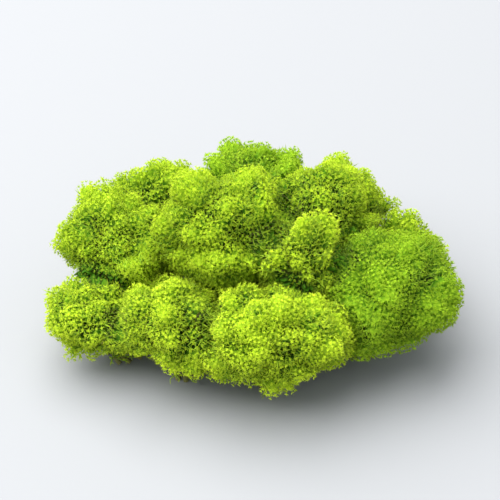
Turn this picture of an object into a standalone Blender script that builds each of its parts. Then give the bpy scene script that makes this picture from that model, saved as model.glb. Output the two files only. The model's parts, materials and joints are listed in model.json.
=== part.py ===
"""A clump of reindeer moss: lichen heads of forked branchlets, pressed together on their stalks.

Each head is one plant and one object: a smaller core, the branchlets that stand out of it on all
sides, and the stalks that carry it. All the heads fan out from one point below the surface that the
clump lies on, and flat walls through that point share the space between neighbours.
Metres, +Z up, with the origin in the middle of the flat foot under the highest head.
"""

import math
import random
from typing import NamedTuple

import bmesh
import bpy
from mathutils import Vector, noise

MM = 0.001
SEED = 11

# The fan that the heads grow in
FAN_POINT = Vector((6.0, 0.0, -62.0)) * MM
SHARE_HEIGHT = 26 * MM  # the level where the heads' own widths share out the space
WALL_MARGIN = 0.16 * MM  # each head stays this far from the wall to its neighbour
GROUND_MARGIN = 2.5 * MM  # branchlets stay this far off the ground

# A head's form, as shares of its reach in that direction
CORE_SHARE = 0.86
PRESSED_CORE_SHARE = 0.95
TIP_SHARE = (0.95, 1.0)
UNDERSIDE_SHARE = 0.85  # how far a head hangs below its centre, against its rise
LUMP_WIDTH = 11 * MM  # small rounded lumps, which the lobes are made of
LUMP_HEIGHT = 0.42
PRESSED_SHARE = 0.8  # nothing grows this far inside a neighbour's own form

# Branchlets: each face of the core that nothing presses on carries one
BRANCHLET_SPACING = 2.85 * MM
BRANCHLET_LEAN = 0.4  # 0 stands a tip over the middle of its face, 1 at its rim
DIRECTION_JITTER = 0.2

# Stalks under each head. Values in threes are at the top, half-way down and at the ground
STALKS = 3
STALK_SIDES = 5
STALK_RADII = (2.3 * MM, 1.3 * MM, 1.8 * MM)
STALK_SPREADS = (1.8 * MM, 2.9 * MM, 5.2 * MM)
STALK_BEND = 1.6 * MM
STALK_TURN_JITTER = 0.3
STALK_TOP_DEPTH = 0.3  # how deep in the head a stalk starts, as a share of its rise
STALK_WALL_SHARE = 1.3  # a stalk's middle stays this many of its radii from a wall
TWIGS_PER_STALK = 2
TWIG_LENGTH = 5.5 * MM
TWIG_RADIUS = 0.9 * MM
TWIG_STRETCH = (0.05, 0.6)  # where twigs stand between a stalk's middle and its foot
TWIG_TURN = 1.3
TWIG_CLIMB = (0.2, 0.9)
REST_FOOT_RADII = (2.3 * MM, 3.2 * MM, 4.5 * MM)
REST_FOOT_SIDES = 12


class Head(NamedTuple):
    """One plant. Lengths are in millimetres and angles in degrees."""

    name: str
    centre: tuple  # x, y, height
    half: tuple  # half width, half depth, rise
    lobes: int
    lobe_height: float
    lobe_width: float
    lobe_turn: float
    colour: str


HEADS = (
    Head("head_middle", (0, 0, 32), (19, 17, 17), 5, 0.2, 30, 10, "lime"),
    Head("head_front", (11, -26, 18), (22, 16, 17), 2, 0.26, 44, 0, "yellow_lime"),
    Head("head_ridge", (19, -9, 30), (14, 13, 16), 4, 0.36, 24, 20, "yellow_lime"),
    Head("head_front_left", (-13, -21, 18), (15, 15, 15), 3, 0.24, 36, 70, "yellow_lime"),
    Head("head_left", (-27, 7, 22), (18, 17, 16), 5, 0.2, 30, 40, "lime"),
    Head("head_left_low", (-32, -12, 13), (15, 14, 12), 4, 0.24, 34, 15, "yellow_lime"),
    Head("head_right", (42, -9, 19), (19, 18, 17), 4, 0.16, 38, 30, "leaf_green"),
    Head("head_right_top", (24, 9, 30), (15, 15, 17), 4, 0.24, 30, 55, "lime"),
    Head("head_right_end", (46, 12, 15), (14, 14, 14), 3, 0.24, 36, 0, "lime"),
    Head("head_back", (8, 25, 23), (18, 17, 16), 5, 0.2, 30, 25, "leaf_green"),
    Head("head_back_left", (-17, 25, 17), (18, 17, 16), 4, 0.22, 34, 60, "lime"),
    Head("head_back_right", (30, 24, 18), (17, 16, 16), 4, 0.22, 34, 5, "lime"),
)
MIDDLE_HEAD = HEADS[0].name

# Linear red, green and blue
COLOURS = {
    "yellow_lime": (0.50, 0.66, 0.02),
    "lime": (0.30, 0.56, 0.015),
    "leaf_green": (0.16, 0.42, 0.015),
}
MATTE = 0.85


def clear_scene():
    for obj in list(bpy.data.objects):
        bpy.data.objects.remove(obj)


def dyed_lichen(colour):
    """Matt dyed lichen in one of the clump's three greens."""
    material = bpy.data.materials.new("dyed_lichen_" + colour)
    material.use_nodes = True
    shader = material.node_tree.nodes["Principled BSDF"]
    shader.inputs["Base Color"].default_value = (*COLOURS[colour], 1.0)
    shader.inputs["Roughness"].default_value = MATTE
    shader.inputs["Metallic"].default_value = 0.0
    return material


def centre_of(head):
    return Vector(head.centre) * MM


def seen_from_fan(head):
    """Where the head's axis passes the sharing level, and how wide the head is there."""
    offset = centre_of(head) - FAN_POINT
    scale = (SHARE_HEIGHT - FAN_POINT.z) / offset.z
    return offset.xy * scale, min(head.half[:2]) * MM * scale


def walls_round(head):
    """The planes, through the fan point, that part a head from the others, and the one over the
    ground, each as its outward normal and its distance from the world's origin."""
    place, width = seen_from_fan(head)
    level = SHARE_HEIGHT - FAN_POINT.z
    walls = [(Vector((0, 0, -1)), -GROUND_MARGIN)]
    for other in HEADS:
        if other is head:
            continue
        other_place, other_width = seen_from_fan(other)
        across = 2 * (other_place - place)
        constant = place.length_squared - other_place.length_squared
        constant += other_width**2 - width**2
        normal = Vector((across.x, across.y, constant / level)).normalized()
        walls.append((normal, normal.dot(FAN_POINT) - WALL_MARGIN))
    return walls


def room(walls, start, direction):
    """How far a point can go from start before it meets a wall."""
    nearest = math.inf
    for normal, distance in walls:
        approach = normal.dot(direction)
        if approach > 1e-6:
            nearest = min(nearest, (distance - normal.dot(start)) / approach)
    return nearest


def lobe_directions(head, rng):
    """Lobes stand in a ring round the head's top, with one more on top where there are many."""
    found = []
    for i in range(head.lobes):
        turn = math.radians(head.lobe_turn + 360 * i / head.lobes + rng.uniform(-9, 9))
        tilt = math.radians(rng.uniform(44, 58))
        flat = math.sin(tilt)
        found.append(Vector((flat * math.cos(turn), flat * math.sin(turn), math.cos(tilt))))
    if head.lobes > 3:
        found.append(Vector((rng.uniform(-0.2, 0.2), rng.uniform(-0.2, 0.2), 1)).normalized())
    return found


def head_reach(head, lobes, direction):
    """How far the head would reach this way with no neighbours."""
    half_width, half_depth, rise = (size * MM for size in head.half)
    if direction.z < 0:
        rise *= UNDERSIDE_SHARE
    ellipsoid = Vector((direction.x / half_width, direction.y / half_depth, direction.z / rise))
    spread = math.radians(head.lobe_width)
    bump = max(math.exp(-((direction.angle(lobe) / spread) ** 2)) for lobe in lobes)
    on_surface = direction * half_width / LUMP_WIDTH + Vector(head.centre)
    from_lump = noise.voronoi(on_surface)[0][0]
    uneven = head.lobe_height * (bump - 0.6) + LUMP_HEIGHT * (0.35 - from_lump**2)
    return (1 + uneven) / ellipsoid.length


def even_directions(count, rng):
    """Points spread evenly over a unit sphere by the golden angle, then shaken a little."""
    golden = math.pi * (3 - math.sqrt(5))
    jitter = DIRECTION_JITTER * math.sqrt(4 * math.pi / count)
    found = []
    for i in range(count):
        z = 1 - 2 * (i + 0.5) / count
        flat = math.sqrt(1 - z * z)
        point = Vector((flat * math.cos(golden * i), flat * math.sin(golden * i), z))
        shake = Vector(rng.uniform(-jitter, jitter) for _ in range(3))
        found.append((point + shake).normalized())
    return found


def sphere_faces(directions):
    """Triangles over the directions, as index triples that turn left seen from outside."""
    hull = bmesh.new()
    verts = [hull.verts.new(direction) for direction in directions]
    for i, vert in enumerate(verts):
        vert.index = i
    bmesh.ops.convex_hull(hull, input=verts)
    triples = []
    for face in hull.faces:
        corners = [vert.index for vert in face.verts]
        if face.normal.dot(face.calc_center_median()) < 0:
            corners.reverse()
        triples.append(corners)
    hull.free()
    return triples


def inside_form(head, point, share):
    """Whether a point lies inside a head's plain ellipsoid, drawn in to this share of its size."""
    offset = (point - centre_of(head)) / MM
    half_width, half_depth, rise = head.half
    size = Vector((offset.x / half_width, offset.y / half_depth, offset.z / rise)).length
    return size < share


def build_head(head, walls, rng):
    """The core of a head, with a branchlet on each face that no neighbour presses on."""
    centre = centre_of(head)
    lobes = lobe_directions(head, rng)
    neighbours = [other for other in HEADS if other is not head]
    mesh = bmesh.new()

    def reach(direction):
        return min(head_reach(head, lobes, direction), room(walls, centre, direction))

    def pressed(direction):
        surface = centre + direction * reach(direction)
        return any(inside_form(other, surface, PRESSED_SHARE) for other in neighbours)

    def place(direction, share):
        return mesh.verts.new(centre + direction * reach(direction) * share)

    half_width, half_depth, rise = (size * MM for size in head.half)
    area = 4 * math.pi * (half_width * half_depth + (half_width + half_depth) * rise) / 3
    directions = even_directions(round(area / BRANCHLET_SPACING**2 / 2) + 2, rng)
    core = []
    for direction in directions:
        core.append(place(direction, PRESSED_CORE_SHARE if pressed(direction) else CORE_SHARE))
    for triple in sphere_faces(directions):
        corners = [core[i] for i in triple]
        weights = [1 + BRANCHLET_LEAN * rng.uniform(-2, 2) for _ in triple]
        ways = (directions[i] * weight for i, weight in zip(triple, weights))
        way = sum(ways, Vector()).normalized()
        if pressed(way):
            mesh.faces.new(corners)
            continue
        tip = place(way, rng.uniform(*TIP_SHARE))
        for i in range(3):
            mesh.faces.new((corners[i], corners[(i + 1) % 3], tip))
    data = bpy.data.meshes.new(head.name)
    mesh.to_mesh(data)
    mesh.free()
    return bpy.data.objects.new(head.name, data)


def tube(name, points, radii, sides, turn=0.0):
    """A closed tube with level rings, so that it stands flat on its last point."""
    mesh = bmesh.new()
    rings = []
    for point, radius in zip(points, radii):
        ring = []
        for i in range(sides):
            angle = turn - 2 * math.pi * i / sides
            offset = Vector((math.cos(angle), math.sin(angle), 0)) * radius
            ring.append(mesh.verts.new(point + offset))
        rings.append(ring)
    for upper, lower in zip(rings, rings[1:]):
        for i in range(sides):
            after = (i + 1) % sides
            mesh.faces.new((upper[i], upper[after], lower[after], lower[i]))
    mesh.faces.new(list(reversed(rings[0])))
    mesh.faces.new(rings[-1])
    data = bpy.data.meshes.new(name)
    mesh.to_mesh(data)
    mesh.free()
    return bpy.data.objects.new(name, data)


def twig(name, root, tip, radius):
    """A short three-sided spike, from inside a stalk out to its tip."""
    along = (tip - root).normalized()
    across = along.orthogonal().normalized()
    mesh = bmesh.new()
    base = []
    for i in range(3):
        angle = 2 * math.pi * i / 3
        side = across * math.cos(angle) + along.cross(across) * math.sin(angle)
        base.append(mesh.verts.new(root + side * radius))
    end = mesh.verts.new(tip)
    mesh.faces.new((base[2], base[1], base[0]))
    for i in range(3):
        mesh.faces.new((base[i], base[(i + 1) % 3], end))
    data = bpy.data.meshes.new(name)
    mesh.to_mesh(data)
    mesh.free()
    return bpy.data.objects.new(name, data)


def held_inside(walls, point, start, margin):
    """The point, drawn back towards start until it has this margin to every wall but the ground."""
    way = point - start
    length = way.length
    if length == 0:
        return point
    free = room(walls[1:], start, way / length) - margin
    return start + way / length * max(0.0, min(length, free))


def build_stalks(head, walls, rng):
    """Bent, tapered stalks from inside the head down to the ground, each with a few side twigs."""
    centre = centre_of(head)
    down = (FAN_POINT - centre) / (centre.z - FAN_POINT.z)
    top = centre + down * (STALK_TOP_DEPTH * head.half[2] * MM)
    ground = centre + down * centre.z
    axis = (top, (top + ground) / 2, ground)
    first_turn = rng.uniform(0, 2 * math.pi)
    found = []
    for i in range(STALKS):
        turn = first_turn + 2 * math.pi * i / STALKS
        turn += rng.uniform(-STALK_TURN_JITTER, STALK_TURN_JITTER)
        side = Vector((math.cos(turn), math.sin(turn), 0))
        offsets = [side * spread for spread in STALK_SPREADS]
        offsets[1] += Vector((-side.y, side.x, 0)) * rng.uniform(-STALK_BEND, STALK_BEND)
        points = []
        for middle, offset, radius in zip(axis, offsets, STALK_RADII):
            points.append(held_inside(walls, middle + offset, middle, STALK_WALL_SHARE * radius))
        found.append(tube(f"stalk_{i}", points, STALK_RADII, STALK_SIDES, turn))
        for j in range(TWIGS_PER_STALK):
            root = points[1].lerp(points[2], rng.uniform(*TWIG_STRETCH))
            lean = turn + rng.uniform(-TWIG_TURN, TWIG_TURN)
            out = Vector((math.cos(lean), math.sin(lean), rng.uniform(*TWIG_CLIMB))).normalized()
            tip = held_inside(walls, root + out * TWIG_LENGTH, root, 2 * WALL_MARGIN)
            found.append(twig(f"twig_{i}_{j}", root, tip, TWIG_RADIUS))
    if head.name == MIDDLE_HEAD:
        found.append(rest_foot(top))
    return found


def rest_foot(top):
    """The thick, flat-ended stalk in the middle, which the clump's weight lies over."""
    return tube("rest_foot", (top, top / 2, Vector()), REST_FOOT_RADII, REST_FOOT_SIDES)


def fuse(node, pieces):
    """One union joins the pieces to the node, which then holds one closed body."""
    group = bpy.data.collections.new("pieces_of_" + node.name)
    bpy.context.scene.collection.children.link(group)
    for piece in pieces:
        group.objects.link(piece)
    union = node.modifiers.new("union", "BOOLEAN")
    union.operation = "UNION"
    union.operand_type = "COLLECTION"
    union.collection = group
    union.solver = "EXACT"
    union.use_self = True
    graph = bpy.context.evaluated_depsgraph_get()
    fused = bpy.data.meshes.new_from_object(node.evaluated_get(graph))
    node.modifiers.clear()
    node.data = fused
    fused.name = node.name
    for piece in pieces:
        bpy.data.objects.remove(piece)
    bpy.data.collections.remove(group)


def main():
    clear_scene()
    materials = {colour: dyed_lichen(colour) for colour in COLOURS}
    for number, head in enumerate(HEADS):
        rng = random.Random(SEED + number)
        walls = walls_round(head)
        node = build_head(head, walls, rng)
        bpy.context.scene.collection.objects.link(node)
        fuse(node, build_stalks(head, walls, rng))
        node.data.materials.clear()
        node.data.materials.append(materials[head.colour])


main()
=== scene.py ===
"""Looks of a clump of dyed reindeer moss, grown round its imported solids.

Each head of the clump is one lichen plant. Its solid gives the outer form, and the finished piece
fills that form as the plant does: thin stalks stand on the ground and fork, again and again, until
every last branch ends in a small star of forked tips. Metres, +Z up.
"""

import json
import math
from typing import NamedTuple

import bmesh
import bpy
import numpy as np
from bpy.props import FloatProperty, FloatVectorProperty, IntProperty, PointerProperty
from mathutils import Euler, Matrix, Vector, kdtree, noise

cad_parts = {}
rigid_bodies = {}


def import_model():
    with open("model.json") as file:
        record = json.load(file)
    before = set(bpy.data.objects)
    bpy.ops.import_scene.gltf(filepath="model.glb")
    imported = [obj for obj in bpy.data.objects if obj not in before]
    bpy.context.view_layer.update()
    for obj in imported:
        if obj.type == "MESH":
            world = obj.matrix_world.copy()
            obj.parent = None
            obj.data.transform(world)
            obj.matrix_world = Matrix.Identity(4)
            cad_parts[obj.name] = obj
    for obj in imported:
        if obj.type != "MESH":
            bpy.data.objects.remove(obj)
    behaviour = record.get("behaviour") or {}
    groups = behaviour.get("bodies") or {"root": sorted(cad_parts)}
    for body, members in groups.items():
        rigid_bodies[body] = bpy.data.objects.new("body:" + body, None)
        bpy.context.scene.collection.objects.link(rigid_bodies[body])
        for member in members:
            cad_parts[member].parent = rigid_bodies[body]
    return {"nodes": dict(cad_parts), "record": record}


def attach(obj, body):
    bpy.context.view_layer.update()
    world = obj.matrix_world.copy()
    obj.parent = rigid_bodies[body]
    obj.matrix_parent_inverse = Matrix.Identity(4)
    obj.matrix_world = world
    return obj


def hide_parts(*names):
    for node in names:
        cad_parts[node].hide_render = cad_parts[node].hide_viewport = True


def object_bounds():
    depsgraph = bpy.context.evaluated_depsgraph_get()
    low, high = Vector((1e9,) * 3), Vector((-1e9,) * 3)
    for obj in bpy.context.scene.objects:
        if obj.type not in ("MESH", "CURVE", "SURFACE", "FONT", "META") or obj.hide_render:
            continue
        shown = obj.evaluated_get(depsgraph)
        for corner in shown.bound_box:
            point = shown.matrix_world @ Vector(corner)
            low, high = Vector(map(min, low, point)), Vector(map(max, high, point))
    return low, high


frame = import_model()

bl_info = {
    "name": "Reindeer Moss Clump",
    "version": (1, 0, 0),
    "blender": (4, 5, 0),
    "location": "View3D > Sidebar > Reindeer Moss",
    "description": "Grows the forked branches of a clump of dyed reindeer moss",
    "category": "Add Mesh",
}

MM = 0.001
SENSOR_WIDTH = 36.0
CAD_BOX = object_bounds()
FAN_POINT = np.array((6.0, 0.0, -62.0)) * MM  # all heads fan out from here, as their solids do

# Reading a head's form from its solid
FORM_ROWS, FORM_COLUMNS = 60, 120
FORM_BLUR = 0.13  # radians
FORM_POWER = 12  # so high that the tips of the solid's branchlets count, not the hollows between
FOOT_HEIGHT = 0.05 * MM
UNDER_HEAD = 2.4 * MM  # below this only stalks are left
STALK_REACH = 6.5 * MM

# Ages along a plant, from 0 in its oldest parts to 1 at the newest tips; in creases, crevices and
# the heart they are also lowered as painted shade
AGE_FOOT = 0.03
AGE_STALK = 0.16
AGE_HEART = 0.04, 0.36, 0.59  # in a crease, as painted shade near black, between the branches on a lump, and on their tips
AGE_FORK = 0.40
AGE_TWIG = 0.60
AGE_TIP = 1.0
AGE_DEEPER = 0.1  # how much older the twigs of the deeper stars are
CREASE_SHADE_AGE = 0.055  # painted shade: how far down the age axis, so darker, the twigs in a crease are moved, for each millimetre of its depth
# Painted shade: how far down the age axis, so darker, the twigs in a crevice are moved
CREVICE_SHADE_AGE = 0.36
TONE_STALK, TONE_HEART = 0.05, 0.9
TONE_RISE = 0.2  # how much yellower a plant's highest stars are than its lowest
TONE_MIDDLE = 0.6  # share of the height where they have the plant's own tone
TONE_PATCH, PATCH_WIDTH = 0.16, 9 * MM
TONE_NOISE, LUMP_NOISE = 0.08, 0.05
CREVICE_SHADE_TONE, TONE_LOOSE = 0.25, 0.3  # how much duller the stars are in a crevice, as painted shade, and in a loose patch
CREASE_SHADE_TONE = 0.08  # and how much duller and darker the stars are in a crease, as painted shade, for each millimetre of its depth
MAP_STEP = 0.01  # the largest random step on the map

OUTER_STARS, INNER_STARS, FORKS = 10, 6, 4  # how many kinds of each there are
STAR_CROWDING, HEART_CROWDING, FORK_CROWDING = 40, 24, 30  # how many places are tried for them
SPARSER_UNDER, SPARSER_CREVICE, SPARSER_LOOSE = 0.6, 0.15, 0.35  # how much further apart
INNER_SPARSER = 1.1
RAGGED = 0.1 * MM  # how far the stars stand back from the surface, on average
LOWEST_STAR = 0.9 * MM
FORK_GAP = 1.25 * MM
FORK_DEPTHS = 1.0, 1.9  # millimetres
STALK_COUNT = 7
STALK_STEPS = 6
STALK_TWIST = 0.9  # radians from top to foot
STALK_WOBBLE = 0.4 * MM
TWIG_WIDTHS = 0.5, 0.38, 0.28, 0.12  # millimetres, from the stalk to the tips
TWIGS_PER_STEP = 2
CREVICE = 2.0 * MM  # between heads this near each other the colour is darkened as painted shade, with bare, pale twigs
CREASE_WIDTH = 1.6 * MM  # and a head draws back where the next is this near
LOOSE_WIDTH = 6 * MM  # size of the patches where the branches part
LOOSE_FROM, LOOSE_EDGE = 0.22, 0.2  # the noise at which such a patch starts, and how it fades in
LOOSE_DEPTH = 1.5 * MM  # how much deeper the heart lies in them
PACKING = 0.87  # area that one point of an even spread takes up, per square of its spacing
LUMP_WIDTHS = (4, 7, 13)  # millimetres
SPREAD_LUMPS = 1  # the twigs spread from deep in the lumps of the second width
SPREAD_DEPTH = 4.5 * MM
HEART_GRAIN = 0.66 * MM  # least distance between the corners of the heart
HEART_TIPS = 1.0 * MM  # least distance between those that stand out
HEART_TIP_HEIGHT, HEART_SINK, HEART_SWELL = 1.2, 0.7, 0.4  # millimetres
SWELL_WIDTH = 2.5 * MM
HEART_PRESSED = 0.8  # how much less deep the heart lies where heads press together
HEART_CREVICE = 0.3  # and how much deeper in a crevice
DEEPEST = 5.5 * MM  # the deepest creases between lumps
STEEPEST = 6  # how many times as many places are tried on the steepest walls
LUMP_RISE = 0.35  # share of its height by which a lump stands over the solid's form
UNEVEN = 0.3  # how much the lumps differ in height
COVER, PRESS_GAP = 1.5 * MM, 1.0 * MM  # heads press together this deep, and this near each other
HIGH_GAP, LOW_GAP = 8 * MM, 16 * MM  # gaps this wide stay open, over and under a head's waist
WAIST, WAIST_EDGE = 0.55, 0.3  # height of the waist on a head of radius 1, and how it fades in
GAP_STEP = 1 * MM  # a head grows towards the next one where a step like this brings it nearer
SHAFT_STEP = 4 * MM  # a step into a shaft between several heads hardly changes the distance
SHAFT_OPENS = 1.5 * MM  # where that step takes it this much further away, it is in the open
SHAFT_WIDTH, SHAFT_WALL = 10 * MM, 5 * MM  # and so it is with no wall so near at the far side
WALL_EDGE = 2 * MM
HIGH_FILL = 0.6  # share of the growth into gaps that is left over the waist
SHAFT_FILL = 0.35  # and how much further a head grows into a shaft
FILL_OVER = 0.4 * MM  # this much is added to each gap, so that the tips of two heads mingle

# The stage, in metres
FLOOR_HALF = 3.0
LAMP_SIZE = 1.8, 1.4
LAMP_OFFSET = Vector((-0.4, 0.15, 0.9))


class Look(NamedTuple):
    """How one head differs from the others. Lump heights are in millimetres."""

    openness: float  # 0 is a dense cushion, 1 a loose head with long tips
    tone: float  # 0 is green and dull, 1 is yellow and bright
    lumps: tuple = (1.0, 2.0, 2.0)  # heights of the small, middling and large lumps
    peak: float = 0.8  # 1 gives round lumps, 0.5 gives pointed ones
    draw: int = 0  # another number draws other lumps and stars


LOOKS = {
    "head_middle": Look(0.10, 0.50),
    "head_front": Look(0.05, 0.74),
    "head_ridge": Look(0.35, 0.70, (2.6, 4.2, 0.8), 0.5, 2),
    "head_front_left": Look(0.10, 0.70),
    "head_left": Look(0.10, 0.55),
    "head_left_low": Look(0.10, 0.60),
    "head_right": Look(0.00, 0.45, (0.6, 1.0, 1.3)),
    "head_right_top": Look(0.25, 0.50, (0.8, 2.4, 1.6), 0.7),
    "head_right_end": Look(0.10, 0.55),
    "head_back": Look(0.20, 0.50, (0.6, 2.0, 2.0), 0.8),
    "head_back_left": Look(0.10, 0.55),
    "head_back_right": Look(0.10, 0.50),
}


def linear(hex_colour):
    """An sRGB hex colour as linear red, green and blue."""
    channels = [int(hex_colour[i : i + 2], 16) / 255 for i in (1, 3, 5)]
    return tuple(c / 12.92 if c <= 0.04045 else ((c + 0.055) / 1.055) ** 2.4 for c in channels)


def colour(name, description, hex_colour):
    return FloatVectorProperty(
        name=name,
        description=description,
        subtype="COLOR",
        size=3,
        min=0,
        max=1,
        default=linear(hex_colour),
    )


def length(name, description, millimetres):
    return FloatProperty(
        name=name, description=description, default=millimetres * MM, min=0, unit="LENGTH"
    )


def share(name, description, default):
    return FloatProperty(
        name=name, description=description, default=default, min=0, subtype="FACTOR"
    )


class GrowthSettings(bpy.types.PropertyGroup):
    star_spacing: length("Star spacing", "Distance between the stars of tips on a head", 0.95)
    layer_depth: length("Layer depth", "How much deeper the stars between those stand", 0.8)
    star_height: length("Star height", "How far a star's tips stand over its middle", 0.4)
    arm_length: length("Arm length", "Length of a star's arms", 0.66)
    arm_thickness: length("Arm thickness", "Thickness of a star's arms where they start", 0.28)
    twig_thickness: length("Twig thickness", "Thickness of the twig under one star", 0.22)
    twig_length: length("Twig length", "Length of the twig under one star", 1.5)
    crease_depth: length("Crease depth", "How far a head draws back from the next", 0.8)
    gap_fill: share("Gap fill", "How far each head grows into a narrow gap beside it", 0.5)
    press_depth: length("Press depth", "Heads press together from this deep in the clump", 8.0)
    pressed_share: share("Pressed share", "Share of the stars left where heads press", 0.1)
    heart_depth: length("Heart depth", "How deep the dense heart lies under the tips", 1.7)
    stalk_spread: length("Stalk spread", "How far a plant's stalks spread on the ground", 4.6)
    seed: IntProperty(name="Seed", description="Starts every random draw", default=7)


class DyeSettings(bpy.types.PropertyGroup):
    yellow_lime_tip: colour("Yellow lime tips", "Newest tips of the yellow plants", "#c0d235")
    yellow_lime_branch: colour("Yellow lime branches", "Branches under them", "#cbe733")
    lime_tip: colour("Lime tips", "Newest tips of the lime plants", "#b8cc32")
    lime_branch: colour("Lime branches", "Branches under them", "#c2e02f")
    leaf_green_tip: colour("Leaf green tips", "Newest tips of the green plants", "#a1c22c")
    leaf_green_branch: colour("Leaf green branches", "Branches under them", "#a6cc2a")
    old_branch: colour("Old branches", "Paler, bluish old wood that took less dye", "#84a83e")
    foot: colour("Stalk feet", "Brownish ends of the stalks", "#7e7a4a")
    heart: colour("Heart", "Dense middle, always in shade", "#4a8212")
    roughness: share("Roughness", "Matt, felted bark without gloss", 0.88)


class StageSettings(bpy.types.PropertyGroup):
    floor: colour("Floor", "Plain floor that the bright light makes pale", "#9e9fa1")
    surround: colour("Surround", "Light from all round", "#eef2f6")
    surround_strength: share("Surround strength", "Brightness of the surround", 0.9)
    key_power: FloatProperty(
        name="Key power", description="Watts of the large soft lamp", default=36.0, unit="POWER"
    )
    elevation: FloatProperty(
        name="Elevation",
        description="How far the camera looks down",
        default=math.radians(37.9),
        subtype="ANGLE",
    )
    distance: length("Distance", "From the camera to the middle of the clump", 650)
    framing: share("Framing", "Share of the picture's width that the clump fills", 0.86)


# Reading the solids


def merged_points(node):
    """The corners of a solid's loose triangles, each once."""
    mesh = frame["nodes"][node].data
    corners = np.empty(len(mesh.vertices) * 3, np.float32)
    mesh.vertices.foreach_get("co", corners)
    return np.unique(corners.reshape(-1, 3).round(7), axis=0).astype(float)


def unit(vectors):
    return vectors / np.maximum(np.linalg.norm(vectors, axis=-1, keepdims=True), 1e-12)


def spiral_directions(count):
    """Directions spread evenly over a sphere by the golden angle."""
    i = np.arange(count)
    z = 1 - 2 * (i + 0.5) / count
    flat = np.sqrt(1 - z * z)
    turn = i * math.pi * (3 - math.sqrt(5))
    return np.stack([flat * np.cos(turn), flat * np.sin(turn), z], 1)


class Form:
    """A head's outer form: where it stands, and how far it reaches in each direction."""

    def __init__(self, node):
        points = merged_points(node)
        self.foot = points[points[:, 2] < FOOT_HEIGHT].mean(0)
        self.foot[2] = 0
        self.centre = points[points[:, 2] > UNDER_HEAD].mean(0)
        down = self.foot - self.centre
        along = ((points - self.centre) @ down / (down @ down)).clip(0, 1)
        aside = np.linalg.norm(points - self.centre - along[:, None] * down, axis=1)
        of_head = (points[:, 2] > UNDER_HEAD) & ((aside > STALK_REACH) | (along < 0.3))
        offsets = points[of_head] - self.centre
        lengths = np.linalg.norm(offsets, axis=1)
        ways = offsets / lengths[:, None]
        tilt = np.linspace(0, math.pi, FORM_ROWS + 1)[:, None]
        turn = np.linspace(0, 2 * math.pi, FORM_COLUMNS, endpoint=False)[None]
        grid = np.stack(
            [np.sin(tilt) * np.cos(turn), np.sin(tilt) * np.sin(turn), np.cos(tilt) + 0 * turn], -1
        )
        weights = np.exp((grid.reshape(-1, 3) @ ways.T - 1) / FORM_BLUR**2) + 1e-30
        scale = lengths.max()
        mean = (weights @ (lengths / scale) ** FORM_POWER) / weights.sum(1)
        self.grid = (scale * mean ** (1 / FORM_POWER)).reshape(FORM_ROWS + 1, FORM_COLUMNS)
        self.size = lengths.max()

    def reach(self, directions):
        """The form's reach, read between the rows and columns of its grid."""
        tilt = np.arccos(directions[:, 2].clip(-1, 1)) / math.pi * FORM_ROWS
        turn = np.arctan2(directions[:, 1], directions[:, 0]) / (2 * math.pi) * FORM_COLUMNS
        row = np.minimum(np.floor(tilt).astype(int), FORM_ROWS - 1)
        column = np.floor(turn).astype(int)
        down, right = tilt - row, turn - column
        column, after = column % FORM_COLUMNS, (column + 1) % FORM_COLUMNS
        upper = self.grid[row, column] * (1 - right) + self.grid[row, after] * right
        lower = self.grid[row + 1, column] * (1 - right) + self.grid[row + 1, after] * right
        return upper * (1 - down) + lower * down

    def outside(self, points):
        """How far points lie outside the form, or below 0 inside it."""
        offsets = points - self.centre
        distance = np.linalg.norm(offsets, axis=1)
        return distance - self.reach(offsets / np.maximum(distance, 1e-9)[:, None])


def free_distance(points, form, forms):
    """The distance from each point to the nearest other head, below 0 inside it."""
    nearest = np.full(len(points), np.inf)
    for other in forms:
        if other is form:
            continue
        near = np.linalg.norm(points - other.centre, axis=1) < other.size + nearest.clip(max=1)
        if near.any():
            nearest[near] = np.minimum(nearest[near], other.outside(points[near]))
    return nearest


def closeness(near, width):
    """1 where the next head touches, and nearly 0 where it is two widths away or more."""
    return np.exp(-((near / width) ** 2))


# Growing a plant


def thinned(points, spacing, rng):
    """Which of the points to keep, so that no two are nearer than spacing."""
    tree = kdtree.KDTree(len(points))
    for i, point in enumerate(points):
        tree.insert(point, i)
    tree.balance()
    kept, gone = [], np.zeros(len(points), bool)
    for i in rng.permutation(len(points)):
        if gone[i]:
            continue
        kept.append(i)
        for _, j, _ in tree.find_range(points[i], spacing[i]):
            gone[j] = True
    return np.array(kept)


def nearest(directions, middles):
    """For each direction, the number of the nearest middle and how far it is, as a chord."""
    likeness = directions @ middles.T
    found = likeness.argmax(1)
    return found, np.sqrt((2 - 2 * likeness[np.arange(len(found)), found]).clip(min=0))


class Lumps:
    """Lumps of one width, spread unevenly over a head, with creases between them."""

    def __init__(self, size, width, height, peak, rng):
        count = max(6, round(4 * math.pi * (size / width) ** 2 / PACKING))
        middles = spiral_directions(count)
        self.middles = unit(middles + rng.normal(0, 0.25 * width / size, middles.shape))
        self.radius, self.height, self.peak = 0.5 * width / size, height, peak
        self.uneven = (UNEVEN * height * rng.normal(0, 1, count)).clip(-height, height)

    def drop(self, directions):
        """How far the surface draws back under the form, or below 0 where it stands over it."""
        found, aside = nearest(directions, self.middles)
        dome = ((aside / self.radius) ** (2 * self.peak)).clip(max=1.6)
        return self.height * (dome - LUMP_RISE) + self.uneven[found]


POINT_VALUES = ("thickness", "age", "tone", "grow", "star", "size", "twig")


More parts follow.
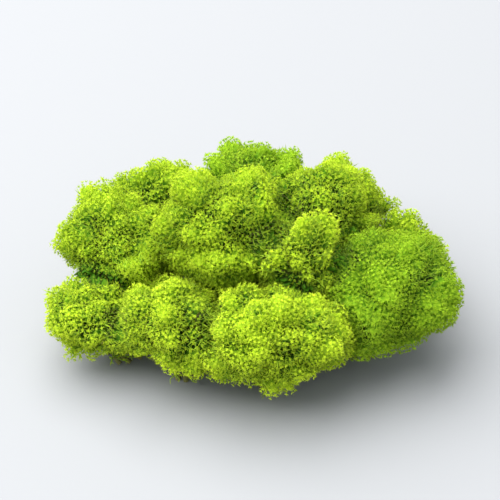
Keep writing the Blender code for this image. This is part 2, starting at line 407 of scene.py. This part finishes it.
class Skeleton:
    """A plant's centre lines, with what Geometry Nodes needs to know at each point."""

    def __init__(self):
        self.points, self.edges = [], []
        self.values = {name: [] for name in POINT_VALUES}
        self.stalk_edges = []

    def add(self, place, thickness, age, tone, grow=(0, 0, 1), star=-1, size=1.0, twig=0.0):
        self.points.append(place)
        for name, value in zip(self.values, (thickness, age, tone, grow, star, size, twig)):
            self.values[name].append(value)
        return len(self.points) - 1

    def join(self, first, second, stalk=False):
        self.edges.append((first, second))
        self.stalk_edges.append(stalk)

    def to_object(self, name):
        mesh = bpy.data.meshes.new(name)
        mesh.from_pydata([tuple(p) for p in self.points], self.edges, [])
        kinds = {"grow": ("FLOAT_VECTOR", "vector", float), "star": ("INT", "value", int)}
        for key, found in self.values.items():
            kind, field, number = kinds.get(key, ("FLOAT", "value", float))
            layer = mesh.attributes.new(key, kind, "POINT")
            layer.data.foreach_set(field, np.array(found, number).ravel())
        stalk = mesh.attributes.new("stalk", "BOOLEAN", "EDGE")
        stalk.data.foreach_set("value", self.stalk_edges)
        piece = bpy.data.objects.new(name, mesh)
        bpy.context.scene.collection.objects.link(piece)
        return piece


class Plant:
    """One plant: the surface of its head, the stars on it and the heart under them."""

    def __init__(self, node, form, forms, growth, rng):
        self.form, self.forms, self.growth, self.rng = form, forms, growth, rng
        self.look = look = LOOKS[node]
        size = form.grid.mean()
        self.lumps = [
            Lumps(size, width * MM, height * MM, look.peak, rng)
            for width, height in zip(LUMP_WIDTHS, look.lumps)
        ]
        self.base = form.centre + (form.foot - form.centre) * 0.25
        self.shift = Vector(rng.uniform(-9, 9, 3))

    def looseness(self, ways, reach):
        """0 where the branches stand close, up to 1 in the loose patches, where they part."""
        places = (self.form.centre + ways * reach[:, None]) / LOOSE_WIDTH
        field = np.array([noise.noise(Vector(place) + self.shift) for place in places])
        return ((field - LOOSE_FROM + 0.5 * self.look.openness) / LOOSE_EDGE).clip(0, 1)

    def gap(self, places):
        """How far the next head is from each place, below 0 inside it."""
        return free_distance(places, self.form, self.forms)

    def pressing(self, places, near):
        """1 where the head presses against the next one, deep under the clump's surface, down to
        0 in the open."""
        out = places + unit(places - FAN_POINT) * self.growth.press_depth
        cover = np.minimum(self.gap(out), self.form.outside(out) - COVER)
        return (0.5 - cover / COVER).clip(0, 1) * (1.5 - near / PRESS_GAP).clip(0, 1)

    def filling(self, directions, places, near):
        """How far the head grows into the gaps round it, from 0 to 1: into any gap, into one that
        lies under its waist, and into a shaft between several heads."""
        beyond = self.gap(places + directions * GAP_STEP)
        towards = (2 * (near - beyond) / GAP_STEP - 0.4).clip(0, 1)
        across = self.gap(places + directions * SHAFT_STEP)
        level = directions @ unit(self.form.centre - FAN_POINT)
        low = ((WAIST - level) / WAIST_EDGE).clip(0, 1)
        low *= ((LOW_GAP - near) / LOW_GAP * 2).clip(0, 1)
        shaft = low * (1 - (across - near) / SHAFT_OPENS).clip(0, 1) * (1 - towards)
        wall = self.gap(places + directions * SHAFT_WIDTH)
        shaft *= ((SHAFT_WALL - wall) / WALL_EDGE).clip(0, 1)
        low = np.maximum(low * towards, shaft)
        high = towards * ((HIGH_GAP - near) / HIGH_GAP * 2).clip(0, 1)
        return np.maximum(HIGH_FILL * high, low), low, shaft

    def surface(self, directions):
        """The head's reach, how much of it is drawn back, how far the next head is, and how
        surely the place is pressed against it."""
        growth, form = self.growth, self.form
        reach = form.reach(directions)
        places = form.centre + directions * reach[:, None]
        near = self.gap(places).clip(min=0)
        pressed = self.pressing(places, near)
        fill, low, shaft = self.filling(directions, places, near)
        drop = sum(lumps.drop(directions) for lumps in self.lumps)
        drop += growth.crease_depth * closeness(near, CREASE_WIDTH)
        drop = np.where(drop > 0, DEEPEST * np.tanh(drop / DEEPEST), drop)
        drop *= 1 - np.maximum(pressed, low)
        reach += (growth.gap_fill * fill + SHAFT_FILL * shaft) * (near + FILL_OVER)
        return reach - drop, drop, near, pressed

    def spread(self, spacing, crowding):
        """Directions to places crowded over the surface, to be thinned to the spacing, and how
        steep it is there. There are more where it is steep, as its walls are larger than they
        look from the middle."""
        count = int(crowding * (self.form.size / spacing) ** 2)
        ways = spiral_directions(count)
        reach = self.surface(ways)[0]
        slope = np.zeros(count)
        for _ in range(2):
            aside = self.rng.normal(0, 0.5 * spacing / self.form.size, ways.shape)
            aside -= ways * (aside * ways).sum(1, keepdims=True)
            rise = abs(self.surface(unit(ways + aside))[0] - reach)
            slope = np.maximum(slope, rise / (reach * np.linalg.norm(aside, axis=1)))
        stretch = np.hypot(1, slope)
        copies = stretch.round().astype(int).clip(max=STEEPEST)
        ways, stretch = np.repeat(ways, copies, axis=0), np.repeat(stretch, copies)
        return unit(ways + self.rng.normal(0, 1 / math.sqrt(count), ways.shape)), stretch

    def stars(self):
        """Where the stars stand, in an outer and a deeper layer, with what the surface says
        there. Few stand where heads press together."""
        growth, rng = self.growth, self.rng
        spacing = growth.star_spacing * (1 + 0.2 * self.look.openness)
        ways, _ = self.spread(spacing, STAR_CROWDING)
        reach, drop, near, pressed = self.surface(ways)
        keep = rng.random(len(ways)) > pressed * (1 - growth.pressed_share)
        ways, reach, drop, near = ways[keep], reach[keep], drop[keep], near[keep]
        places = self.form.centre + ways * reach[:, None]
        sparser = 1 + SPARSER_UNDER * ((-ways[:, 2] - 0.25) / 0.5).clip(0, 1)
        loose = self.looseness(ways, reach)
        sparser += SPARSER_CREVICE * closeness(near, CREVICE) + SPARSER_LOOSE * loose
        outer = thinned(places, spacing * sparser, rng)
        tree = kdtree.KDTree(len(outer))
        for i in outer:
            tree.insert(places[i], i)
        tree.balance()
        between = [i for i, p in enumerate(places) if tree.find(p)[2] > 0.5 * spacing]
        inner = thinned(places[between], INNER_SPARSER * spacing * sparser[between], rng)
        chosen = np.concatenate([outer, np.array(between)[inner]])
        deeper = np.arange(len(chosen)) >= len(outer)
        return ways[chosen], reach[chosen], drop[chosen], near[chosen], loose[chosen], deeper

    def skeleton(self):
        """The stars, on twigs that spread from deep in their lump, and the stalks."""
        growth, rng, form, look = self.growth, self.rng, self.form, self.look
        ways, reach, drop, near, loose, deeper = self.stars()
        count = len(ways)
        ragged = rng.exponential(RAGGED * (1 + 4 * look.openness), count)
        reach = reach - ragged - growth.star_height - deeper * growth.layer_depth * (1 + loose)
        places = form.centre + ways * reach[:, None]
        places[:, 2] = places[:, 2].clip(min=LOWEST_STAR)
        lumps = self.lumps[SPREAD_LUMPS]
        number = nearest(ways, lumps.middles)[0]
        depth = self.surface(lumps.middles)[0] - SPREAD_DEPTH
        springs = form.centre + lumps.middles * depth[:, None]
        grow = unit(unit(places - springs[number]) + rng.normal(0, 0.2, places.shape))
        crevice = closeness(near, CREVICE)
        twigs = growth.twig_length * rng.uniform(0.8, 1.3, count) * (1 + crevice + loose)

        height = (places[:, 2] - places[:, 2].min()) / np.ptp(places[:, 2])
        patch = np.array([noise.noise(Vector(p) / PATCH_WIDTH) for p in places])
        tone = look.tone + TONE_RISE * (height - TONE_MIDDLE) + TONE_PATCH * patch
        tone += rng.normal(0, TONE_NOISE, count)
        for lumps in self.lumps:
            shades = rng.normal(0, LUMP_NOISE, len(lumps.middles))
            tone += shades[nearest(ways, lumps.middles)[0]]
        # Painted shade: stars in crevices and deep creases are made duller and darker; those in
        # loose patches are duller.
        tone -= CREVICE_SHADE_TONE * crevice + TONE_LOOSE * loose + CREASE_SHADE_TONE * (drop / MM).clip(-2, 3)
        tone = tone.clip(0.02, 0.98)

        kinds = rng.integers(0, OUTER_STARS, count)
        kinds[deeper] = OUTER_STARS + rng.integers(0, INNER_STARS, deeper.sum())
        # Painted shade: twigs in deep creases and crevices are moved down the age axis, so they
        # are darker.
        ages = AGE_TWIG - AGE_DEEPER * deeper - CREASE_SHADE_AGE * (drop / MM).clip(0, 3)
        ages -= CREVICE_SHADE_AGE * crevice
        sizes = rng.uniform(0.85, 1.2, count) * (1 + 0.3 * look.openness) * (1 - 0.3 * crevice)
        skeleton = Skeleton()
        for values in zip(places, ages, tone, grow, kinds, sizes, twigs):
            place, age, *rest = values
            skeleton.add(place, growth.twig_thickness, age, *rest)
        self.add_forks(skeleton)
        add_stalks(skeleton, form, self.base, growth, rng)
        return skeleton

    def add_forks(self, skeleton):
        """Bare forks in the creases and between the heads, where branches stay pale and loose."""
        growth, rng, form = self.growth, self.rng, self.form
        ways = spiral_directions(int(FORK_CROWDING * (form.size / FORK_GAP) ** 2))
        reach, drop, near, pressed = self.surface(ways)
        shade = closeness(near, CREVICE) + ((drop / MM - 1.0) / 2).clip(0, 1)
        shade += self.looseness(ways, reach)
        keep = (shade > rng.uniform(0.2, 1.0, len(ways))) & (pressed < 0.3) & (ways[:, 2] > -0.4)
        ways, reach = ways[keep], reach[keep]
        reach = reach - rng.uniform(*FORK_DEPTHS, len(ways)) * MM
        places = form.centre + ways * reach[:, None]
        chosen = thinned(places, np.full(len(places), FORK_GAP), rng)
        for place, way in zip(places[chosen], ways[chosen]):
            kind = OUTER_STARS + INNER_STARS + rng.integers(0, FORKS)
            grow = unit(way + rng.normal(0, 0.35, 3))
            tone, size = rng.uniform(0.05, 0.3), rng.uniform(0.7, 1.2)
            skeleton.add(place, 0.3 * MM, AGE_FORK, tone, grow, kind, size, growth.twig_length)


def add_stalks(skeleton, form, base, growth, rng):
    """Thin stalks, twisted round each other, from inside the heart down to the ground."""
    first_turn = rng.uniform(0, 2 * math.pi)
    for i in range(STALK_COUNT):
        turn = first_turn + 2 * math.pi * i / STALK_COUNT + rng.uniform(-0.3, 0.3)
        spread = growth.stalk_spread * rng.uniform(0.45, 1.0)
        last, wobble = None, rng.normal(0, STALK_WOBBLE, (STALK_STEPS + 1, 3))
        for step in range(STALK_STEPS + 1):
            along = step / STALK_STEPS
            angle = turn + STALK_TWIST * along
            ring = spread * (0.35 + 0.65 * along**2)
            axis = base + (form.foot - base) * along
            place = axis + np.array([math.cos(angle), math.sin(angle), 0]) * ring
            place += wobble[step]
            place[2] = axis[2] if step < STALK_STEPS else 0
            waist = math.sin(math.pi * along)
            width = (1.15 - 0.35 * waist + 0.35 * along) * MM
            age = AGE_STALK + (AGE_FOOT - AGE_STALK) * along
            point = skeleton.add(place, width, age, TONE_STALK)
            if last is not None:
                skeleton.join(last, point, stalk=True)
            last = point
            if 0 < step < STALK_STEPS:
                for _ in range(TWIGS_PER_STEP):
                    add_twig(skeleton, place, angle, rng)


def add_twig(skeleton, place, angle, rng):
    """A bare side twig that leaves a stalk outwards and forks twice."""
    lean = angle + rng.uniform(-1.4, 1.4)
    out = unit(np.array([math.cos(lean), math.sin(lean), rng.uniform(0.0, 0.9)]))
    widths = [width * MM for width in TWIG_WIDTHS]
    start = skeleton.add(place, widths[0], AGE_STALK, TONE_STALK)
    middle = place + out * rng.uniform(1.5, 3.6) * MM
    middle[2] = max(middle[2], 1 * MM)
    fork = skeleton.add(middle, widths[1], AGE_STALK + 0.08, 2 * TONE_STALK)
    skeleton.join(start, fork)
    for _ in range(2):
        arm = middle + unit(out + rng.normal(0, 0.5, 3)) * rng.uniform(1.0, 2.2) * MM
        arm[2] = max(arm[2], 0.8 * MM)
        second = skeleton.add(arm, widths[2], AGE_FORK, 4 * TONE_STALK)
        skeleton.join(fork, second)
        for _ in range(2):
            tip = arm + unit(out + rng.normal(0, 0.6, 3)) * rng.uniform(0.7, 1.3) * MM
            tip[2] = max(tip[2], 0.5 * MM)
            skeleton.join(second, skeleton.add(tip, widths[3], AGE_TWIG, 8 * TONE_STALK))


def heart_object(name, plant, rng):
    """The heart of a plant: branches in so dense a tangle that no light comes through. It
    follows the lumps, and the corners that stand out of it are the paler tips of short branches.
    It lies deeper in steep walls and loose patches, and reaches nearly up to the next head where
    the two press together. Its colour is painted near black in creases, and darker in crevices,
    loose patches and where heads press, as painted shade."""
    form = plant.form
    ways, stretch = plant.spread(HEART_GRAIN, HEART_CROWDING)
    reach, drop, near, pressed = plant.surface(ways)
    crevice = closeness(near, CREVICE) * (1 - pressed)
    deep = stretch.clip(max=2) * (1 - HEART_PRESSED * pressed + HEART_CREVICE * crevice)
    reach -= plant.growth.heart_depth * deep
    places = form.centre + ways * reach[:, None]
    kept = thinned(places, np.full(len(places), HEART_GRAIN), rng)
    tips = thinned(places[kept], np.full(len(kept), HEART_TIPS), rng)
    height = rng.uniform(0, 0.15, len(kept))
    height[tips] += rng.uniform(0.6, 0.95, len(tips))
    ways, reach, drop, pressed, crevice = (
        values[kept] for values in (ways, reach, drop, pressed, crevice)
    )
    mesh = bmesh.new()
    for way in ways:
        mesh.verts.new(way)
    bmesh.ops.convex_hull(mesh, input=mesh.verts[:])
    loose = plant.looseness(ways, reach) * (1 - pressed)
    reach -= LOOSE_DEPTH * loose
    for vert, way, far, step in zip(mesh.verts, ways, reach, height):
        swell = noise.noise(Vector(way) * far / SWELL_WIDTH + plant.shift)
        out = HEART_TIP_HEIGHT * step - HEART_SINK + HEART_SWELL * swell
        vert.co = Vector(form.centre + way * (far + out * MM))
    bmesh.ops.recalc_face_normals(mesh, faces=mesh.faces)
    data = bpy.data.meshes.new(name)
    mesh.to_mesh(data)
    mesh.free()
    # Painted shade: the heart's colour darkens in deep creases, crevices, loose patches and where
    # heads press; its raised tips are paler, and less so there.
    light = (0.75 - 0.25 * drop / MM).clip(0, 1) * (1 - np.maximum(pressed, crevice))
    light *= 1 - loose
    low = AGE_HEART[0] + (AGE_HEART[1] - AGE_HEART[0]) * light
    ages = low + (AGE_HEART[2] - low) * height.clip(max=1) * (0.25 + 0.75 * light)
    for key, value in (("age", ages), ("tone", np.full(len(ages), TONE_HEART))):
        layer = data.attributes.new(key, "FLOAT", "POINT")
        layer.data.foreach_set("value", value)
    heart = bpy.data.objects.new(name, data)
    bpy.context.scene.collection.objects.link(heart)
    return heart


# Stars of tips


def spike(mesh, reach, start, tip, radius, ages):
    """A three-sided spike. reach is the layer that says how far along its arm each point is."""
    along = (tip - start).normalized()
    side = along.orthogonal().normalized()
    up = side.cross(along)
    corners = []
    for angle in (90, 210, 330):
        turn = math.radians(angle)
        vert = mesh.verts.new(start + (side * math.cos(turn) + up * math.sin(turn)) * radius)
        vert[reach] = ages[0]
        corners.append(vert)
    end = mesh.verts.new(tip)
    end[reach] = ages[1]
    mesh.faces.new(corners)
    for i in range(3):
        mesh.faces.new((corners[(i + 1) % 3], corners[i], end))


def star_object(number, growth, rng):
    """One star of tips round the end of a twig that grows along +Z, as one closed, spiky shape.
    The first kinds stand at a head's surface, the next deeper, with fewer arms and less dye, and
    the last are bare forks with long arms."""
    mesh = bmesh.new()
    reach = mesh.verts.layers.float.new("reach")
    outer = number < OUTER_STARS
    fork = number >= OUTER_STARS + INNER_STARS
    arms = 3 if fork else (5 if outer else 4) + number % 2
    tilts, stretch = ((10, 50), 2.8) if fork else ((30, 78), 1.0)
    first_turn = rng.uniform(0, 2 * math.pi)
    thick = growth.arm_thickness
    top, under = mesh.verts.new((0, 0, 0.3 * thick)), mesh.verts.new((0, 0, -0.6 * thick))
    tips, notches = [], []
    for i in range(arms):
        turn = first_turn + 2 * math.pi * i / arms + rng.uniform(-0.2, 0.2)
        tilt = math.radians(rng.uniform(*tilts))
        flat = math.sin(tilt)
        way = Vector((math.cos(turn) * flat, math.sin(turn) * flat, math.cos(tilt)))
        tips.append(mesh.verts.new(way * growth.arm_length * stretch * rng.uniform(0.8, 1.15)))
        tips[-1][reach] = 1.0 if outer else 0.35 if fork else 0.8
        turn = first_turn + 2 * math.pi * (i + 0.5) / arms
        notches.append(mesh.verts.new(Vector((math.cos(turn), math.sin(turn), 0)) * thick * 0.8))
    for i, tip in enumerate(tips):
        for middle in (top, under):
            mesh.faces.new((notches[i - 1], tip, middle))
            mesh.faces.new((tip, notches[i], middle))
    bmesh.ops.recalc_face_normals(mesh, faces=mesh.faces)
    data = bpy.data.meshes.new(f"star_{number:02d}")
    mesh.to_mesh(data)
    mesh.free()
    return bpy.data.objects.new(data.name, data)


def twig_object():
    """The twig under a star: a spike of unit radius that is one unit long, down from the star."""
    mesh = bmesh.new()
    reach = mesh.verts.layers.float.new("reach")
    spike(mesh, reach, Vector((0, 0, -1)), Vector((0, 0, 0.3)), 1.0, (-0.3, 0.0))
    bmesh.ops.recalc_face_normals(mesh, faces=mesh.faces)
    data = bpy.data.meshes.new("twig")
    mesh.to_mesh(data)
    mesh.free()
    return bpy.data.objects.new(data.name, data)


# Geometry Nodes


def add_node(tree, kind, settings=None, inputs=None):
    """Adds a node, sets its settings, and sets or links its inputs, each by identifier, name or
    number."""
    node = tree.nodes.new(kind)
    for key, value in (settings or {}).items():
        setattr(node, key, value)
    known = {socket.identifier: socket for socket in node.inputs}
    for key, value in (inputs or {}).items():
        socket = known[key] if key in known else node.inputs[key]
        if isinstance(value, bpy.types.NodeSocket):
            tree.links.new(value, socket)
        else:
            socket.default_value = value
    return node


def plant_tree():
    """Turns a skeleton into branches and stars, gives them their map, and adds the heart."""
    tree = bpy.data.node_groups.new("Lichen plant", "GeometryNodeTree")
    tree.is_modifier = True
    face = tree.interface
    face.new_socket("Geometry", in_out="OUTPUT", socket_type="NodeSocketGeometry")
    sockets = {}
    for name, kind in (
        ("Skeleton", "Geometry"),
        ("Stars", "Collection"),
        ("Twig", "Object"),
        ("Heart", "Object"),
        ("Finish", "Material"),
        ("Branch sides", "Int"),
        ("Stalk sides", "Int"),
        ("Seed", "Int"),
    ):
        kind = "NodeSocket" + kind
        sockets[name] = face.new_socket(name, in_out="INPUT", socket_type=kind).identifier
    given = tree.nodes.new("NodeGroupInput").outputs

    def named(name, kind="FLOAT"):
        settings = {"data_type": kind}
        node = add_node(tree, "GeometryNodeInputNamedAttribute", settings, {"Name": name})
        return node.outputs["Attribute"]

    def maths(operation, first, second):
        inputs = {0: first, 1: second}
        return add_node(tree, "ShaderNodeMath", {"operation": operation}, inputs).outputs[0]

    def drawn(inputs):
        kind = {"data_type": "FLOAT"}
        return add_node(tree, "FunctionNodeRandomValue", kind, inputs).outputs[1]

    half = maths("MULTIPLY", named("thickness"), 0.5)

    def tubes(selection, sides):
        inputs = {"Mesh": given["Skeleton"], "Selection": selection}
        lines = add_node(tree, "GeometryNodeMeshToCurve", None, inputs)
        inputs = {"Resolution": sides, "Radius": 1.0}
        ring = add_node(tree, "GeometryNodeCurvePrimitiveCircle", None, inputs)
        inputs = {
            "Curve": lines.outputs[0],
            "Profile Curve": ring.outputs[0],
            "Scale": half,
            "Fill Caps": True,
        }
        return add_node(tree, "GeometryNodeCurveToMesh", None, inputs).outputs[0]

    stalk = named("stalk", "BOOLEAN")
    branch = add_node(tree, "FunctionNodeBooleanMath", {"operation": "NOT"}, {0: stalk})
    branches = tubes(branch.outputs[0], given["Branch sides"])
    stalks = tubes(stalk, given["Stalk sides"])

    star = named("star", "INT")
    has_star = add_node(
        tree,
        "FunctionNodeCompare",
        {"data_type": "INT", "operation": "GREATER_EQUAL"},
        {"A_INT": star, "B_INT": 0},
    )
    kinds = add_node(
        tree,
        "GeometryNodeCollectionInfo",
        None,
        {"Collection": given["Stars"], "Separate Children": True, "Reset Children": True},
    )
    inputs = {"Vector": named("grow", "FLOAT_VECTOR")}
    upright = add_node(tree, "FunctionNodeAlignRotationToVector", {"axis": "Z"}, inputs)
    inputs = {"Axis": (0, 0, 1), "Angle": drawn({"Max_001": math.tau, "Seed": given["Seed"]})}
    about = add_node(tree, "FunctionNodeAxisAngleToRotation", None, inputs)
    turned = add_node(
        tree,
        "FunctionNodeRotateRotation",
        {"rotation_space": "LOCAL"},
        {"Rotation": upright.outputs[0], "Rotate By": about.outputs[0]},
    )
    placed = add_node(
        tree,
        "GeometryNodeInstanceOnPoints",
        None,
        {
            "Points": given["Skeleton"],
            "Selection": has_star.outputs[0],
            "Instance": kinds.outputs[0],
            "Pick Instance": True,
            "Instance Index": star,
            "Rotation": turned.outputs[0],
            "Scale": named("size"),
        },
    )
    inputs = {"Object": given["Twig"], "As Instance": True}
    twig = add_node(tree, "GeometryNodeObjectInfo", None, inputs)
    inputs = {0: half, 1: half, 2: named("twig")}
    stretch = add_node(tree, "ShaderNodeCombineXYZ", None, inputs)
    under = add_node(
        tree,
        "GeometryNodeInstanceOnPoints",
        None,
        {
            "Points": given["Skeleton"],
            "Selection": has_star.outputs[0],
            "Instance": twig.outputs["Geometry"],
            "Rotation": turned.outputs[0],
            "Scale": stretch.outputs[0],
        },
    )
    heart = add_node(tree, "GeometryNodeObjectInfo", None, {"Object": given["Heart"]})
    joined = add_node(tree, "GeometryNodeJoinGeometry")
    for part in (heart.outputs["Geometry"], placed.outputs[0], under.outputs[0], stalks, branches):
        tree.links.new(part, joined.inputs[0])
    real = add_node(tree, "GeometryNodeRealizeInstances", None, {"Geometry": joined.outputs[0]})

    # The map: across it lies the age, and up it the tone. A small random step at each corner
    # gives every face some width there.
    young = add_node(
        tree,
        "ShaderNodeMapRange",
        {"clamp": False},
        {"Value": named("reach"), "To Min": named("age"), "To Max": AGE_TIP},
    )
    up = maths("ADD", named("tone"), drawn({"Min_001": -MAP_STEP, "Max_001": MAP_STEP}))
    place = add_node(tree, "ShaderNodeCombineXYZ", None, {0: young.outputs[0], 1: up})
    mapped = add_node(
        tree,
        "GeometryNodeStoreNamedAttribute",
        {"data_type": "FLOAT2", "domain": "CORNER"},
        {"Geometry": real.outputs[0], "Name": "OFBake", "Value": place.outputs[0]},
    )
    finish = add_node(
        tree,
        "GeometryNodeSetMaterial",
        None,
        {"Geometry": mapped.outputs[0], "Material": given["Finish"]},
    )
    out = tree.nodes.new("NodeGroupOutput")
    tree.links.new(finish.outputs[0], out.inputs[0])
    return tree, sockets


def dyed_lichen(slot, dye):
    """Preserved reindeer lichen, dyed through. Its felted bark has no gloss at all. The newest
    tips took the most dye and are yellow, the branches under them are greener, and the old wood
    is pale and bluish, down to the brown feet."""
    key = slot.removeprefix("lichen_")
    tip, branch = getattr(dye, key + "_tip"), getattr(dye, key + "_branch")
    material = bpy.data.materials.new("dyed_" + slot)
    material.use_nodes = True
    tree = material.node_tree
    shader = tree.nodes["Principled BSDF"]
    shader.inputs["Metallic"].default_value = 0.0
    shader.inputs["Roughness"].default_value = dye.roughness
    shader.inputs["IOR"].default_value = 1.45
    shader.inputs["Subsurface Weight"].default_value = 0.2
    shader.inputs["Subsurface Radius"].default_value = (1.0, 1.0, 0.3)
    shader.inputs["Subsurface Scale"].default_value = 0.4 * MM
    shader.inputs["Specular IOR Level"].default_value = 0.1
    place = add_node(tree, "ShaderNodeUVMap", {"uv_map": "OFBake"})
    apart = add_node(tree, "ShaderNodeSeparateXYZ", None, {0: place.outputs[0]})
    half_lit = [0.4 * a + 0.6 * b for a, b in zip(dye.heart, branch)]
    # The fresh ramp starts near black at the heart's crease age: painted shade.
    fresh = (
        (AGE_HEART[0], [0.06 * c for c in dye.heart]),
        (AGE_STALK, dye.heart),
        (AGE_FORK, half_lit),
        (AGE_TWIG, branch),
        (AGE_TIP, tip),
    )
    old = (
        (AGE_FOOT, dye.foot),
        (AGE_STALK, dye.old_branch),
        (AGE_FORK, [(a + b) / 2 for a, b in zip(dye.old_branch, half_lit)]),
        (AGE_TWIG, [0.6 * c for c in branch]),
        (AGE_TIP, [0.55 * b + 0.15 * t for t, b in zip(tip, branch)]),
    )
    ramps = []
    for stops in (old, fresh):
        ramp = add_node(tree, "ShaderNodeValToRGB", None, {0: apart.outputs[0]})
        bar = ramp.color_ramp
        while len(bar.elements) < len(stops):
            bar.elements.new(0.5)
        for element, (position, shade) in zip(bar.elements, stops):
            element.position = position
            element.color = (*shade, 1.0)
        ramps.append(ramp.outputs["Color"])
    mixed = add_node(
        tree,
        "ShaderNodeMix",
        {"data_type": "RGBA"},
        {"Factor": apart.outputs[1], 6: ramps[0], 7: ramps[1]},
    )
    tree.links.new(mixed.outputs[2], shader.inputs["Base Color"])
    return material


def plain_mesh(piece, tree, sockets, values):
    """Runs the tree on a piece and keeps the result as its plain mesh."""
    modifier = piece.modifiers.new("Plant", "NODES")
    modifier.node_group = tree
    for name, value in values.items():
        modifier[sockets[name]] = value
    graph = bpy.context.evaluated_depsgraph_get()
    mesh = bpy.data.meshes.new_from_object(piece.evaluated_get(graph))
    piece.modifiers.clear()
    piece.data = mesh
    mesh.name = piece.name
    mesh.materials.clear()
    mesh.materials.append(values["Finish"])
    mesh.polygons.foreach_set("material_index", np.zeros(len(mesh.polygons), np.int32))
    for name in (*POINT_VALUES, "stalk", "reach"):
        if name in mesh.attributes:
            mesh.attributes.remove(mesh.attributes[name])


def set_on_ground(mesh):
    """Flattens what would stand in the ground, so that the stalks end flat on it."""
    corners = np.empty(len(mesh.vertices) * 3, np.float32)
    mesh.vertices.foreach_get("co", corners)
    corners[2::3] = corners[2::3].clip(min=0)
    mesh.vertices.foreach_set("co", corners)
    mesh.update()


class LICHEN_OT_grow_plants(bpy.types.Operator):
    """Grow the twelve plants of the clump, each inside the form of its solid"""

    bl_idname = "lichen.grow_plants"
    bl_label = "Grow Plants"

    def execute(self, context):
        growth, dye = context.scene.lichen_growth, context.scene.lichen_dye
        forms = {node: Form(node) for node in LOOKS}
        rng = np.random.default_rng(growth.seed)
        stars = bpy.data.collections.new("Stars")
        context.scene.collection.children.link(stars)
        for number in range(OUTER_STARS + INNER_STARS + FORKS):
            stars.objects.link(star_object(number, growth, rng))
        twig = twig_object()
        context.scene.collection.objects.link(twig)
        tree, sockets = plant_tree()
        slots = {part["node"]: part["material_slot"] for part in frame["record"]["subparts"]}
        finishes = {slot: dyed_lichen(slot, dye) for slot in sorted(set(slots.values()))}
        for number, (node, form) in enumerate(forms.items()):
            own = np.random.default_rng((growth.seed, number + 100 * LOOKS[node].draw))
            plant = Plant(node, form, forms.values(), growth, own)
            piece = plant.skeleton().to_object("lichen_" + node)
            heart = heart_object("heart", plant, own)
            values = {
                "Stars": stars,
                "Twig": twig,
                "Heart": heart,
                "Finish": finishes[slots[node]],
                "Branch sides": 3,
                "Stalk sides": 6,
                "Seed": growth.seed + number,
            }
            plain_mesh(piece, tree, sockets, values)
            bpy.data.objects.remove(heart)
            set_on_ground(piece.data)
            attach(piece, "root")
            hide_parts(node)
        for pattern in (*stars.objects, twig):
            bpy.data.objects.remove(pattern)
        bpy.data.collections.remove(stars)
        return {"FINISHED"}


class LICHEN_OT_set_stage(bpy.types.Operator):
    """Set the pale floor, the soft lights and the camera at the photograph's angle"""

    bl_idname = "lichen.set_stage"
    bl_label = "Set Stage"

    def execute(self, context):
        stage = context.scene.lichen_stage
        low, high = (Vector(corner) for corner in CAD_BOX)
        middle = (low + high) / 2
        mesh = bpy.data.meshes.new("floor")
        corners = ((-1, -1), (1, -1), (1, 1), (-1, 1))
        corners = [(x * FLOOR_HALF, y * FLOOR_HALF, 0) for x, y in corners]
        mesh.from_pydata(corners, [], [(0, 1, 2, 3)])
        floor = bpy.data.objects.new("floor", mesh)
        context.scene.collection.objects.link(floor)
        paper = bpy.data.materials.new("matt_paper_backdrop")
        paper.use_nodes = True
        shader = paper.node_tree.nodes["Principled BSDF"]
        shader.inputs["Base Color"].default_value = (*stage.floor, 1.0)
        shader.inputs["Roughness"].default_value = 0.9
        shader.inputs["Specular IOR Level"].default_value = 0.1
        mesh.materials.append(paper)

        world = bpy.data.worlds.new("soft_surround")
        world.use_nodes = True
        background = world.node_tree.nodes["Background"]
        background.inputs["Color"].default_value = (*stage.surround, 1.0)
        background.inputs["Strength"].default_value = stage.surround_strength
        context.scene.world = world

        lamp = bpy.data.lights.new("softbox", "AREA")
        lamp.shape = "RECTANGLE"
        lamp.size, lamp.size_y = LAMP_SIZE
        lamp.energy = stage.key_power
        softbox = bpy.data.objects.new("softbox", lamp)
        softbox.location = middle + LAMP_OFFSET
        softbox.rotation_euler = (middle - softbox.location).to_track_quat("-Z", "Y").to_euler()
        context.scene.collection.objects.link(softbox)

        data = bpy.data.cameras.new("camera")
        data.sensor_width = SENSOR_WIDTH
        width = high.x - low.x
        data.lens = stage.framing * SENSOR_WIDTH * stage.distance / width
        camera = bpy.data.objects.new("camera", data)
        camera.rotation_euler = Euler((math.pi / 2 - stage.elevation, 0, 0))
        back = Vector((0, -math.cos(stage.elevation), math.sin(stage.elevation)))
        camera.location = middle + back * stage.distance
        context.scene.collection.objects.link(camera)
        context.scene.camera = camera
        context.scene.view_settings.view_transform = "Standard"
        return {"FINISHED"}


class LICHEN_PT_panel(bpy.types.Panel):
    """Settings of the clump and its stage"""

    bl_idname = "LICHEN_PT_panel"
    bl_label = "Reindeer Moss"
    bl_space_type = "VIEW_3D"
    bl_region_type = "UI"
    bl_category = "Reindeer Moss"

    def draw(self, context):
        for owner in ("lichen_growth", "lichen_dye", "lichen_stage"):
            settings = getattr(context.scene, owner)
            column = self.layout.box().column()
            for key in settings.__annotations__:
                column.prop(settings, key)
        self.layout.operator(LICHEN_OT_grow_plants.bl_idname)
        self.layout.operator(LICHEN_OT_set_stage.bl_idname)


CLASSES = (
    GrowthSettings,
    DyeSettings,
    StageSettings,
    LICHEN_OT_grow_plants,
    LICHEN_OT_set_stage,
    LICHEN_PT_panel,
)


def register():
    for cls in CLASSES:
        bpy.utils.register_class(cls)
    bpy.types.Scene.lichen_growth = PointerProperty(type=GrowthSettings)
    bpy.types.Scene.lichen_dye = PointerProperty(type=DyeSettings)
    bpy.types.Scene.lichen_stage = PointerProperty(type=StageSettings)


def unregister():
    del bpy.types.Scene.lichen_growth
    del bpy.types.Scene.lichen_dye
    del bpy.types.Scene.lichen_stage
    for cls in reversed(CLASSES):
        bpy.utils.unregister_class(cls)


def main():
    register()
    bpy.ops.lichen.grow_plants()
    bpy.ops.lichen.set_stage()


if __name__ == "__main__":
    main()
